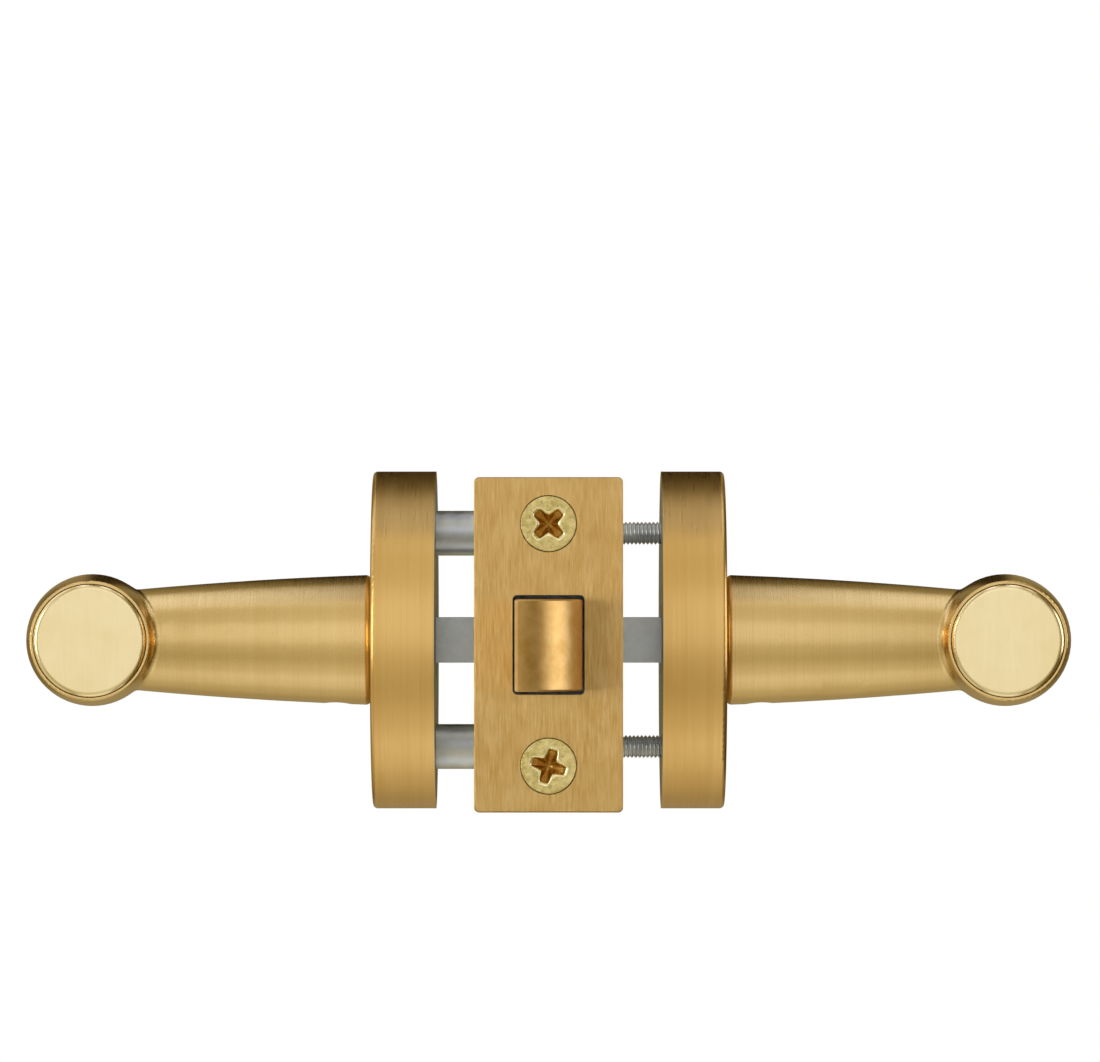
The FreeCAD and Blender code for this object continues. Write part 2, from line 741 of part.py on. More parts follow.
def case_cheek(word, side):
    """One of the two plates between which the hub turns, with a tongue in the tube."""
    body = new_body(f"case_cheek_{word}")
    inner = cheek_inner if side > 0 else -cheek_inner
    face = sketch_on(body, "YZ_Plane", "cheek_outline", lift=inner)
    root = tube_length + side_gap
    tongue = cheek_tongue_half_height
    tall = cheek_half_height
    turn_y = case_length - cheek_corner
    turn_z = tall - cheek_corner
    corners = [
        (root - cheek_tongue_length, -tongue), (root, -tongue), (root, -tall), (turn_y, -tall),
        (case_length, -turn_z), (case_length, turn_z), (turn_y, tall), (root, tall), (root, tongue),
        (root - cheek_tongue_length, tongue),
    ]
    outline(face, corners, {3: cheek_corner, 5: cheek_corner})
    pad(body, face, "cheek", cheek_thickness, back=side < 0)
    holes = sketch_on(body, "YZ_Plane", "hole_outlines", lift=inner)
    circle(holes, hub_boss_radius + running_gap, spindle_place)
    rivet_y = case_length - case_rivet_inset
    for way in (1, -1):
        circle(holes, case_rivet_radius + seat_gap, rivet_y, case_rivet_half_spacing * way)
    pocket(body, holes, "holes", cheek_thickness * 3, both_ways=True)


def case_rivets():
    """Two shouldered rivets that hold the cheeks apart and together."""
    rivets = []
    for name, way in (("upper", 1), ("lower", -1)):
        body = new_body(f"{name}_case_rivet")
        profile = sketch_on(body, "XY_Plane", "profile")
        inside = cheek_inner - seat_gap
        outside = cheek_outer + seat_gap
        end = outside + case_rivet_head_height
        corners = [
            (-end, 0), (end, 0), (end, case_rivet_head_radius), (outside, case_rivet_head_radius),
            (outside, case_rivet_radius), (inside, case_rivet_radius), (inside, case_spacer_radius),
            (-inside, case_spacer_radius), (-inside, case_rivet_radius), (-outside, case_rivet_radius),
            (-outside, case_rivet_head_radius), (-end, case_rivet_head_radius),
        ]
        outline(profile, corners)
        revolve(body, profile, "rivet")
        place(body, y=case_length - case_rivet_inset, z=case_rivet_half_spacing * way)
        rivets.append(body)
    group("case_rivets", rivets)


def hub():
    """Follower with a square hole, two bosses and an upper and a lower horn leaning forwards."""
    body = new_body("hub")
    collar = sketch_on(body, "YZ_Plane", "collar_outline")
    circle(collar, hub_collar_radius)
    pad(body, collar, "collar", (cheek_inner - side_gap) * 2, both_ways=True)
    boss = sketch_on(body, "YZ_Plane", "boss_outline")
    circle(boss, hub_boss_radius)
    pad(body, boss, "bosses", cheek_outer * 2, both_ways=True)
    tips = sketch_on(body, "YZ_Plane", "horn_tip_outline")
    for name, way in (("upper", 1), ("lower", -1)):
        horn = sketch_on(body, "YZ_Plane", f"{name}_horn_outline")
        leaning_bar(horn, hub_boss_radius, horn_reach, horn_tip_radius, way)
        pad(body, horn, f"{name}_horn", horn_thickness, both_ways=True)
        circle(tips, horn_tip_radius, -horn_reach * sine(half_turn), horn_reach * cosine(half_turn) * way)
    pad(body, tips, "horn_tips", horn_thickness, both_ways=True)
    square = sketch_on(body, "YZ_Plane", "square_outline")
    edge = socket_side / 2
    rectangle(square, -edge, -edge, edge, edge)
    pocket(body, square, "square_hole", cheek_inner * 5, both_ways=True)
    place(body, y=spindle_place)


def spindle():
    """Square bar through the hub into both levers."""
    body = new_body("spindle")
    square = sketch_on(body, "YZ_Plane", "square_outline")
    side = spindle_side / 2
    rectangle(square, -side, -side, side, side)
    bar = pad(body, square, "bar", spindle_length, both_ways=True)
    end = number_of(spindle_length) / 2
    across = Vector(1, 0, 0)
    round_edges(
        body, bar, "end_chamfers", spindle_chamfer,
        lambda edge: at_height(edge, across, end) or at_height(edge, across, -end),
        kind="PartDesign::Chamfer",
    )
    place(body, y=spindle_place)


# Rose, spring cassette and lever of each side.
# Each piece is drawn with X outwards from the door's face, and the left one is
# turned half round about Y, so way is the sign that keeps its top upwards.

def set_on_side(body, way):
    place(body, x=door_half * way, y=spindle_place, turn=0 if way > 0 else 180)


def rose_cover(word, way):
    """Turned shell with a round hole in its front."""
    body = new_body(f"rose_cover_{word}")
    profile = sketch_on(body, "XY_Plane", "profile")
    inner = rose_radius - rose_wall
    ceiling = rose_depth - rose_front_wall
    corners = [
        (0, inner), (0, rose_radius), (rose_depth - rose_edge_round, rose_radius),
        (rose_depth, rose_radius - rose_edge_round), (rose_depth, rose_hole_radius),
        (ceiling, rose_hole_radius), (ceiling, inner),
    ]
    outline(profile, corners, {2: -rose_edge_round})
    revolve(body, profile, "shell")
    set_on_side(body, way)


def rose_bush(word, way):
    """Flanged nylon bush in the rose's hole, in which the lever turns."""
    body = new_body(f"rose_bush_{word}")
    profile = sketch_on(body, "XY_Plane", "profile")
    ceiling = bush_back + bush_flange_thickness
    outer = rose_hole_radius - seat_gap
    bore = spigot_radius + running_gap
    corners = [
        (bush_back, bore), (bush_back, bush_flange_radius), (ceiling, bush_flange_radius), (ceiling, outer),
        (rose_depth, outer), (rose_depth, bore),
    ]
    outline(profile, corners)
    revolve(body, profile, "bush")
    set_on_side(body, way)


def base_plate(word, way):
    """Plate on the door's face with a round spring pocket, open at the top for the carrier's tab."""
    body = new_body(f"base_plate_{word}")
    disc = sketch_on(body, "YZ_Plane", "disc_outline")
    circle(disc, rose_radius - rose_wall - base_gap)
    circle(disc, base_hole_radius)
    hole = sleeve_radius if way < 0 else clamp_screw_radius
    for up in (1, -1):
        circle(disc, hole + seat_gap, 0, fixing_spacing / 2 * up)
    pad(body, disc, "disc", base_thickness)
    ring = sketch_on(body, "YZ_Plane", "pocket_outline", lift=base_thickness)
    circle(ring, pocket_radius + pocket_wall)
    circle(ring, pocket_radius)
    pad(body, ring, "pocket_wall", pocket_depth)
    wide = pocket_radius + pocket_wall * 2
    stop = carrier_tab_width / 2 + side_gap
    lean_y = sine(half_turn)
    lean_z = cosine(half_turn)
    window = sketch_on(body, "YZ_Plane", "window_outline", lift=base_thickness)
    reach = wide / lean_z
    corners = [
        (0, 0), (-stop * lean_z, -stop * lean_y * way),
        (-reach * lean_y - stop * lean_z, (reach * lean_z - stop * lean_y) * way),
        (reach * lean_y + stop * lean_z, (reach * lean_z - stop * lean_y) * way),
        (stop * lean_z, -stop * lean_y * way),
    ]
    outline(window, corners)
    pocket(body, window, "tab_window", pocket_depth * 2, back=True)
    leg = sketch_on(body, "YZ_Plane", "leg_slot_outline", lift=base_thickness)
    slot = return_spring_wire / 2 + seat_gap
    level = return_spring_radius * -way
    rectangle(leg, -wide, level - slot, -pocket_radius / 3, level + slot)
    pocket(body, leg, "leg_slot", pocket_depth * 2, back=True)
    set_on_side(body, way)


def spring_carrier(word, way):
    """Hub on the spindle with a flange, whose tab turns between the pocket's two stops."""
    body = new_body(f"spring_carrier_{word}")
    back = base_thickness + side_gap
    front = base_thickness + pocket_depth + side_gap
    barrel = sketch_on(body, "YZ_Plane", "barrel_outline", lift=back)
    circle(barrel, carrier_radius)
    pad(body, barrel, "barrel", front - back)
    rim = sketch_on(body, "YZ_Plane", "flange_outline", lift=front - carrier_flange_thickness)
    circle(rim, carrier_flange_radius)
    pad(body, rim, "flange", carrier_flange_thickness)
    for name, inner, depth in (
        ("tab", 0, carrier_flange_thickness), ("lug", carrier_lug_inner, carrier_lug_depth),
    ):
        shape = sketch_on(body, "YZ_Plane", f"{name}_outline", lift=front)
        leaning_bar(shape, inner, carrier_tab_reach, carrier_tab_width / 2, way)
        pad(body, shape, name, depth, back=True)
    square = sketch_on(body, "YZ_Plane", "square_outline", lift=back)
    edge = socket_side / 2
    rectangle(square, -edge, -edge, edge, edge)
    pocket(body, square, "square_hole", front * 3, both_ways=True)
    set_on_side(body, way)


def return_spring(word, way):
    """Torsion spring round the carrier, one leg in the pocket's slot and one against the tab's lug."""
    wire = number_of(return_spring_wire)
    radius = number_of(return_spring_radius)
    rise = number_of(pocket_depth - carrier_flange_thickness - return_spring_wire - side_gap)
    lug_angle = 180 + number_of(half_turn - return_spring_lag)
    leg_angle = math.degrees(math.atan2(number_of(moving_leg_length), radius))
    turns = number_of(return_spring_whole_turns) + (lug_angle - leg_angle) / 360
    legs = (number_of(fixed_leg_length), number_of(moving_leg_length))
    spring = wire_spring(f"return_spring_{word}", radius, wire, rise, turns, legs, flipped=way < 0)
    # Its own Z axis goes outwards from the door, and it starts at the bottom.
    turned = FreeCAD.Rotation(Vector(0, 0, -1), Vector(0, 1, 0), Vector(way, 0, 0), "ZXY")
    spring.Placement = FreeCAD.Placement(Vector(), turned)
    height = door_half + base_thickness + side_gap + return_spring_wire / 2
    spring.setExpression(".Placement.Base.x", (height * way).text)
    spring.setExpression(".Placement.Base.y", spindle_place.text)


def fixing_sleeves():
    """Headed sleeves of the left base plate, which reach into the door."""
    sleeves = []
    for name, up in (("upper", 1), ("lower", -1)):
        body = new_body(f"{name}_sleeve")
        profile = sketch_on(body, "XY_Plane", "profile")
        seat = base_thickness + seat_gap
        top = seat + sleeve_head_height
        corners = [
            (-sleeve_length, sleeve_bore_radius), (top, sleeve_bore_radius), (top, sleeve_head_radius),
            (seat, sleeve_head_radius), (seat, sleeve_radius), (-sleeve_length, sleeve_radius),
        ]
        outline(profile, corners)
        revolve(body, profile, "sleeve")
        place(body, x=-door_half, y=spindle_place, z=fixing_spacing / 2 * up, turn=180)
        sleeves.append(body)
    group("fixing_sleeves", sleeves)


def clamp_screws():
    """Machine screws through the right base plate into the sleeves."""
    screws = []
    for name, up in (("upper", 1), ("lower", -1)):
        body = new_body(f"{name}_clamp_screw")
        profile = sketch_on(body, "XY_Plane", "profile")
        seat = base_thickness + seat_gap
        top = seat + clamp_head_height
        end = top - clamp_screw_length
        corners = [
            (end, 0), (top, 0), (top, clamp_head_radius), (seat, clamp_head_radius),
            (seat, clamp_screw_radius), (end + clamp_screw_radius / 2, clamp_screw_radius),
            (end, clamp_screw_radius / 2),
        ]
        outline(profile, corners)
        revolve(body, profile, "screw")
        mouth = sketch_on(body, "YZ_Plane", "recess_outline", lift=top)
        cross(mouth, clamp_head_radius * 1.2, recess_foot_wing)
        pocket(body, mouth, "recess", clamp_head_height / 2)
        place(body, x=door_half, y=spindle_place, z=fixing_spacing / 2 * up)
        screws.append(body)
    group("clamp_screws", screws)


def lever(word, way):
    """One casting: a spigot, a bowed tapering neck, and a grip across its end, bored from the front."""
    body = new_body(f"lever_{word}")
    root = rose_depth + lever_gap
    inner_end = root - spigot_length
    neck = sketch_on(body, "XZ_Plane", "neck_profile")
    corners = [
        (inner_end, 0), (inner_end, spigot_radius), (root, spigot_radius),
        (root, neck_root_radius - neck_root_round), (root + neck_root_round, neck_root_radius),
        (grip_place, neck_end_radius), (grip_place, 0),
    ]
    outline(neck, corners, {3: -neck_root_round, 4: -neck_bow_radius})
    revolve(body, neck, "neck")
    barrel = sketch_on(body, "XY_Plane", "grip_profile", right=grip_place)
    rise = grip_radius - grip_lip_radius
    run = grip_front - grip_crest
    crown = (run * run + rise * rise) / (rise * 2)
    slope = (grip_radius - grip_end_radius) / grip_length
    start = -grip_crest + crown * slope
    start_radius = grip_radius - crown * slope * slope / 2
    corners = [
        (0, -grip_front), (grip_lip_radius - grip_lip_round, -grip_front),
        (grip_lip_radius, -grip_front + grip_lip_round), (start_radius, start),
        (grip_end_radius, grip_length - grip_end_round),
        (grip_end_radius - grip_end_round, grip_length), (0, grip_length),
    ]
    outline(barrel, corners, {1: grip_lip_round, 2: crown, 4: grip_end_round})
    grip = revolve(body, barrel, "grip", axis="V_Axis")
    reach = number_of(grip_place)

    def meeting_edge(edge):
        box = edge.BoundBox
        return edge.Curve.TypeId == "Part::GeomBSplineCurve" and box.XMax < reach and box.ZLength > 1

    round_edges(body, grip, "neck_fillet", neck_fillet, meeting_edge)
    hollow = sketch_on(body, "XY_Plane", "bore_profile", right=grip_place)
    floor = cap_height - cap_proud - grip_front
    seat = cap_radius + seat_gap
    corners = [
        (0, -grip_front * 2), (seat, -grip_front * 2), (seat, floor + seat_gap),
        (grip_bore_radius, floor + seat_gap), (grip_bore_radius, grip_bore_length - grip_bore_radius),
        (0, grip_bore_length),
    ]
    outline(hollow, corners)
    revolve(body, hollow, "bore", axis="V_Axis", cut=True)
    square = sketch_on(body, "YZ_Plane", "socket_outline", lift=inner_end)
    edge = socket_side / 2
    rectangle(square, -edge, -edge, edge, edge)
    pocket(body, square, "socket", spindle_end + socket_end_gap - inner_end, back=True)
    thread = sketch_on(body, "XY_Plane", "grub_hole_outline")
    circle(thread, grub_radius + seat_gap, grub_place)
    pocket(body, thread, "grub_hole", neck_root_radius * 2, back=way < 0)
    set_on_side(body, way)


def end_cap(word, way):
    """Turned disc with a rounded edge, pressed into the front of the grip."""
    body = new_body(f"end_cap_{word}")
    profile = sketch_on(body, "XY_Plane", "profile")
    face = -(grip_front + cap_proud)
    floor = face + cap_height
    corners = [
        (0, face), (cap_radius - cap_round, face), (cap_radius, face + cap_round), (cap_radius, floor),
        (cap_spigot_radius, floor), (cap_spigot_radius, floor + cap_spigot_length),
        (0, floor + cap_spigot_length),
    ]
    outline(profile, corners, {1: cap_round})
    revolve(body, profile, "cap", axis="V_Axis")
    place(body, x=(door_half + grip_place) * way, y=spindle_place)


def grub_screw(word, way):
    """Headless hexagon-socket screw under the neck, bearing on the spindle."""
    body = new_body(f"grub_screw_{word}")
    rod = sketch_on(body, "XY_Plane", "rod_outline")
    circle(rod, grub_radius)
    pad(body, rod, "rod", grub_length)
    key = sketch_on(body, "XY_Plane", "key_outline")
    half = grub_key_side / 2
    tip = half / math.cos(math.radians(30))
    shoulder = tip / 2
    corners = [
        (tip, 0), (shoulder, half), (-shoulder, half), (-tip, 0), (-shoulder, -half), (shoulder, -half),
    ]
    outline(key, corners)
    pocket(body, key, "key", grub_key_depth, back=True)
    top = spindle_side / 2 + seat_gap
    place(body, x=(door_half + grub_place) * way, y=spindle_place, z=-(top + grub_length))


faceplate()
backing_plate()
faceplate_screws()
latch_tube()
spring_stop()
latch_bolt()
bolt_stem()
draw_fork()
bolt_spring()
hub()
spindle()
case_rivets()
for word, way in (("left", -1), ("right", 1)):
    case_cheek(word, way)
    rose_cover(word, way)
    rose_bush(word, way)
    base_plate(word, way)
    spring_carrier(word, way)
    return_spring(word, way)
    lever(word, way)
    end_cap(word, way)
    grub_screw(word, way)
fixing_sleeves()
clamp_screws()
doc.recompute()

# Every object must have been built, and every piece must be sound, before any is written.
for thing in doc.Objects:
    faults = [state for state in thing.State if state in ("Invalid", "Error")]
    if faults:
        raise RuntimeError(f"{thing.Name} of {thing.Label} failed: {faults}")
for piece in pieces:
    if piece.Shape.isNull() or not piece.Shape.isValid() or not piece.Shape.Solids:
        raise RuntimeError(f"{piece.Label} is not a sound solid")

os.makedirs("parts", exist_ok=True)
for piece in pieces:
    piece.Shape.exportStep(f"parts/{piece.Label}.step")
print(f"bolt travel {bolt_travel.number:.4f} mm over {handle_turn.number:.1f} degrees")
print(f"{len(pieces)} pieces written")
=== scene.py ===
import math

import bpy
import numpy as np
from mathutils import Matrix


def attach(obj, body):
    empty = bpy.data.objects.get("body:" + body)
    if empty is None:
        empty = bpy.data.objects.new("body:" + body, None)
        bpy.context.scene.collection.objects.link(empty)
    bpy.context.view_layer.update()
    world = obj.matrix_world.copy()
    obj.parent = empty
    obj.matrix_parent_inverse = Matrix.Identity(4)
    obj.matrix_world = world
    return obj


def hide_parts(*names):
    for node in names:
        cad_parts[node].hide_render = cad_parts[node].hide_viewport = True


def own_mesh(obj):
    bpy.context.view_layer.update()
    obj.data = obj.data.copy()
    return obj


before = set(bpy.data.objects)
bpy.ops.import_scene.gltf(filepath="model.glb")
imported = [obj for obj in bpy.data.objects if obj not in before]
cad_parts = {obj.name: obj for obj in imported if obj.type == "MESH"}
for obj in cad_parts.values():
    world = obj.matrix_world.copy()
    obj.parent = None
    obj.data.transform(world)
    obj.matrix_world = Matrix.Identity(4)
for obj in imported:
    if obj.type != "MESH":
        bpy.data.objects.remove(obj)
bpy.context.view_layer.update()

# Camera
# A long lens looks level from the height of the upper screw, so that the
# faceplate is square on and both handles reach out to the sides.
camera = bpy.data.cameras.new("camera")
camera.sensor_fit = "HORIZONTAL"
camera.sensor_width = 36.0
camera.lens = 249.8
camera_object = bpy.data.objects.new("camera", camera)
camera_object.location = (0.00024, -1.304, 0.0194)
camera_object.rotation_euler = (math.radians(90), 0, 0)
bpy.context.scene.collection.objects.link(camera_object)
bpy.context.scene.camera = camera_object


# Table, tent and lamps
# The set hangs over a pale table inside a photographer's tent, a tube of white
# cloth round it that is bright in front, overhead and below, and dark behind.
scene = bpy.context.scene
scene.view_settings.view_transform = "Standard"


def linear(colour):
    """Turns an sRGB hex colour to linear values: c/12.92 low down, ((c + 0.055)/1.055)^2.4 above."""
    parts = [int(colour[i:i + 2], 16) / 255 for i in (1, 3, 5)]
    return (*[c / 12.92 if c <= 0.04045 else ((c + 0.055) / 1.055) ** 2.4 for c in parts], 1.0)


def add_node(owner, kind, inputs=None, **settings):
    """Adds one node to a material or world, sets it, and fills its inputs with values or links."""
    node = owner.node_tree.nodes.new("ShaderNode" + kind)
    for name, value in settings.items():
        setattr(node, name, value)
    for name, value in (inputs or {}).items():
        if isinstance(value, bpy.types.NodeSocket):
            owner.node_tree.links.new(value, node.inputs[name])
        else:
            node.inputs[name].default_value = value
    return node


def start(owner):
    """Empties a material's or world's tree, so that only the nodes added here are in it."""
    owner.use_nodes = True
    owner.node_tree.nodes.clear()
    return owner


def seen_rays(owner):
    """One for rays from the camera, from a reflection or through glass, and nought for the rest."""
    path = add_node(owner, "LightPath")
    seen = add_node(owner, "Math", {0: path.outputs["Is Camera Ray"],
                                    1: path.outputs["Is Glossy Ray"]}, operation="MAXIMUM")
    return add_node(owner, "Math", {0: seen.outputs[0], 1: path.outputs["Is Transmission Ray"]},
                    operation="MAXIMUM").outputs[0]


def ring_object(name, points):
    """A closed skin from rings of points (rings, points round, 3): each cell between two rings is
    one quad, and a fan of triangles closes the first and the last ring."""
    rings, around = points.shape[:2]
    index = np.arange(rings * around).reshape(rings, around)
    index = np.concatenate([index, index[:, :1]], axis=1)
    quads = np.stack([index[:-1, :-1], index[:-1, 1:], index[1:, 1:], index[1:, :-1]], axis=-1)
    vertices = np.concatenate([points.reshape(-1, 3), points[0].mean(0)[None], points[-1].mean(0)[None]])
    first = np.full(around, rings * around)
    near = np.stack([index[0, 1:], index[0, :-1], first], axis=-1)
    far = np.stack([index[-1, :-1], index[-1, 1:], first + 1], axis=-1)
    mesh = bpy.data.meshes.new(name)
    mesh.from_pydata(vertices.tolist(), [], quads.reshape(-1, 4).tolist() + near.tolist() + far.tolist())
    mesh.shade_smooth()
    thing = bpy.data.objects.new(name, mesh)
    scene.collection.objects.link(thing)
    return thing


# The table is a thin round board. Its rings go from under the edge to the top, and
# point = (reach cos a, reach sin a, table level + level).
table_level = -0.11
turn = np.linspace(0, 2 * np.pi, 64, endpoint=False)[None]
reach = np.array([3.99, 4.0, 4.0, 3.99])[:, None]
level = np.array([-0.02, -0.01, 0.0, 0.0])[:, None]
table = ring_object("table", np.stack([reach * np.cos(turn), reach * np.sin(turn),
                                       level + table_level + turn * 0], axis=-1))
# It is covered with matt paper, on which shadows are soft. Away from the set the paper
# fades to plain white.
fade_from, fade_to = 0.16, 0.5
paper = start(bpy.data.materials.new("pale_paper"))
place = add_node(paper, "TexCoord").outputs["Object"]
flat = add_node(paper, "VectorMath", {0: place, 1: (1, 1, 0)}, operation="MULTIPLY")
away = add_node(paper, "VectorMath", {0: flat.outputs[0]}, operation="LENGTH")
fade = add_node(paper, "MapRange", {"Value": away.outputs["Value"], "From Min": fade_from,
                                    "From Max": fade_to}, interpolation_type="SMOOTHSTEP")
shown = add_node(paper, "Math", {0: fade.outputs[0], 1: seen_rays(paper)}, operation="MULTIPLY")
matt = add_node(paper, "BsdfDiffuse", {"Color": linear("#f1f0ec")})
white = add_node(paper, "Emission", {"Color": (1, 1, 1, 1), "Strength": 1.0})
mixed = add_node(paper, "MixShader", {0: shown.outputs[0], 1: matt.outputs[0], 2: white.outputs[0]})
add_node(paper, "OutputMaterial", {"Surface": mixed.outputs[0]})
table.data.materials.append(paper)
table.visible_glossy = False

# The tent is a tube along X with drawn-in ends, and point = (along, -reach cos a, reach sin a).
# Its tone goes round it by the angle from the front in degrees, upwards being positive, and
# it gets duller to either side of the set.
tent_radius, tent_half_length = 2.0, 1.6
tent_tones = [(-180, 0.3), (-140, 0.42), (-112, 0.62), (-92, 0.84), (-76, 0.94), (-58, 0.78), (-34, 0.63),
              (-14, 0.72), (2, 0.96), (12, 1.0), (28, 1.0), (42, 0.8), (62, 0.76), (78, 0.95), (98, 1.0),
              (112, 0.85), (128, 0.3), (158, 0.2), (180, 0.3)]
side_tones = [(0.5, 1.0), (0.74, 0.38), (0.86, 0.38), (1.0, 0.8)]
along = tent_half_length * np.array([-1, -1, -1, -0.6, -0.3, 0, 0.3, 0.6, 1, 1, 1])[:, None]
reach = tent_radius * np.array([0.3, 0.7, 1, 1, 1, 1, 1, 1, 1, 0.7, 0.3])[:, None]
tent = ring_object("tent", np.stack([along + turn * 0, -reach * np.cos(turn), reach * np.sin(turn)],
                                    axis=-1))
cloth = start(bpy.data.materials.new("tent_cloth"))
place = add_node(cloth, "SeparateXYZ", {0: add_node(cloth, "TexCoord").outputs["Object"]})
front = add_node(cloth, "Math", {0: place.outputs["Y"], 1: -1.0}, operation="MULTIPLY")
angle = add_node(cloth, "Math", {0: place.outputs["Z"], 1: front.outputs[0]}, operation="ARCTAN2")
share = add_node(cloth, "MapRange", {"Value": angle.outputs[0], "From Min": -math.pi,
                                     "From Max": math.pi})
aside = add_node(cloth, "Math", {0: place.outputs["X"]}, operation="ABSOLUTE")
round_tone = add_node(cloth, "ValToRGB", {0: share.outputs[0]})
side_tone = add_node(cloth, "ValToRGB", {0: aside.outputs[0]})
round_stops = [(degrees / 360 + 0.5, tone) for degrees, tone in tent_tones]
for node, stops in ((round_tone, round_stops), (side_tone, side_tones)):
    node.color_ramp.interpolation = "EASE"
    for position, tone in stops[1:-1]:
        node.color_ramp.elements.new(position)
    for element, (position, tone) in zip(node.color_ramp.elements, stops):
        element.position = position
        element.color = (tone, tone, tone, 1)

# Overhead the light is in two bright halves with a dark gap between, over the middle of
# the set. The gap takes most of the tone away, and the halves gain some.
overhead_from, overhead_to = math.radians(66), math.radians(84)
gap_edge, half_edge = 0.16, 0.28
gap_loss, half_gain = 0.95, 0.35
over = add_node(cloth, "MapRange", {"Value": angle.outputs[0], "From Min": overhead_from,
                                    "From Max": overhead_to}, interpolation_type="SMOOTHSTEP")
near = add_node(cloth, "MapRange", {"Value": aside.outputs[0], "From Min": gap_edge, "From Max": half_edge,
                                    "To Min": gap_loss, "To Max": -half_gain},
                interpolation_type="SMOOTHSTEP")
gap = add_node(cloth, "Math", {0: over.outputs[0], 1: near.outputs[0]}, operation="MULTIPLY")
lit = add_node(cloth, "Math", {0: 1.0, 1: gap.outputs[0]}, operation="SUBTRACT")
# The right end of the tent is half closed by a brown curtain.
curtain_from, curtain_to, curtain_tone = 1.2, 1.45, 0.2
curtain = add_node(cloth, "MapRange", {"Value": place.outputs["X"], "From Min": curtain_from,
                                       "From Max": curtain_to, "To Min": 1.0, "To Max": curtain_tone},
                   interpolation_type="SMOOTHSTEP")
# The cloth is warmer the duller it is: red is the tone, and green and blue are powers of it.
green_power, blue_power = 1.16, 1.75
tone = round_tone.outputs["Color"]
for factor in (side_tone.outputs["Color"], lit.outputs[0], curtain.outputs[0]):
    tone = add_node(cloth, "Math", {0: tone, 1: factor}, operation="MULTIPLY").outputs[0]
green = add_node(cloth, "Math", {0: tone, 1: green_power}, operation="POWER")
blue = add_node(cloth, "Math", {0: tone, 1: blue_power}, operation="POWER")
tint = add_node(cloth, "CombineColor", {0: tone, 1: green.outputs[0], 2: blue.outputs[0]})
glow = add_node(cloth, "Emission", {"Color": tint.outputs[0], "Strength": 1.0})
add_node(cloth, "OutputMaterial", {"Surface": glow.outputs[0]})
tent.data.materials.append(cloth)
tent.visible_camera = False
tent.visible_diffuse = False
tent.visible_shadow = False

# Outside the tent all is white to look at, and gives a little light of its own.
room_light, backdrop_white = 0.5, 1.0
world = start(bpy.data.worlds.new("studio"))
strength = add_node(world, "MapRange", {"Value": seen_rays(world), "To Min": room_light,
                                        "To Max": backdrop_white})
backdrop = add_node(world, "Background", {"Color": (1, 1, 1, 1), "Strength": strength.outputs[0]})
add_node(world, "OutputWorld", {"Surface": backdrop.outputs[0]})
scene.world = world


def soft_lamp(name, azimuth, elevation, distance, width, height, radiance):
    """A rectangular lamp that faces the set. Azimuth is from the front, to the right, and the
    power of a lamp is its radiance times its area times pi."""
    lamp = bpy.data.lights.new(name, "AREA")
    lamp.shape = "RECTANGLE"
    lamp.size = width
    lamp.size_y = height
    lamp.energy = radiance * width * height * math.pi
    thing = bpy.data.objects.new(name, lamp)
    side, rise = math.radians(azimuth), math.radians(elevation)
    along_floor = distance * math.cos(rise)
    thing.location = (along_floor * math.sin(side), -along_floor * math.cos(side),
                      distance * math.sin(rise))
    thing.rotation_euler = (math.pi / 2 - rise, 0, side)
    thing.visible_camera = False
    scene.collection.objects.link(thing)
    return thing


soft_lamp("left_lamp", azimuth=-58, elevation=6, distance=1.3, width=0.5, height=0.7, radiance=3.8)
soft_lamp("right_lamp", azimuth=84, elevation=8, distance=1.2, width=0.8, height=0.8, radiance=2.1)
top_lamp = soft_lamp("top_lamp", azimuth=0, elevation=86, distance=1.1, width=1.0, height=0.7,
                     radiance=3.0)
top_lamp.visible_glossy = False


# Faceplate
# Drawn brass strip, cropped to length, pierced for the bolt and countersunk,
# then belt-ground along its length and lacquered.
def dress(material, *names):
    """Gives a material to nodes of the frame."""
    for name in names:
        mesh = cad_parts[name].data
        for slot in range(len(mesh.materials)):
            mesh.materials[slot] = material


def start_metal(name):
    """A new material and its place on the object, in metres."""
    material = start(bpy.data.materials.new(name))
    return material, add_node(material, "TexCoord").outputs["Object"]


def grains(material, place, per_metre, stretch=(1.0, 1.0, 1.0)):
    """Noise whose grains are 1/per_metre metres across, and longer along the axes where stretch
    is small. Nearly all of it lies between 0.3 and 0.7."""
    drawn = add_node(material, "VectorMath", {0: place, 1: stretch}, operation="MULTIPLY")
    noise = add_node(material, "TexNoise", {"Vector": drawn.outputs[0], "Scale": per_metre, "Detail": 3.0,
                                            "Roughness": 0.6})
    return noise.outputs["Fac"]


def blotched(material, noise, dark, light, dark_at=0.3, light_at=0.7):
    """A colour that follows a noise from one hex colour to another."""
    share = add_node(material, "MapRange", {"Value": noise, "From Min": dark_at, "From Max": light_at})
    mix = add_node(material, "Mix", {0: share.outputs[0], 6: linear(dark), 7: linear(light)},
                   data_type="RGBA")
    return mix.outputs[2]


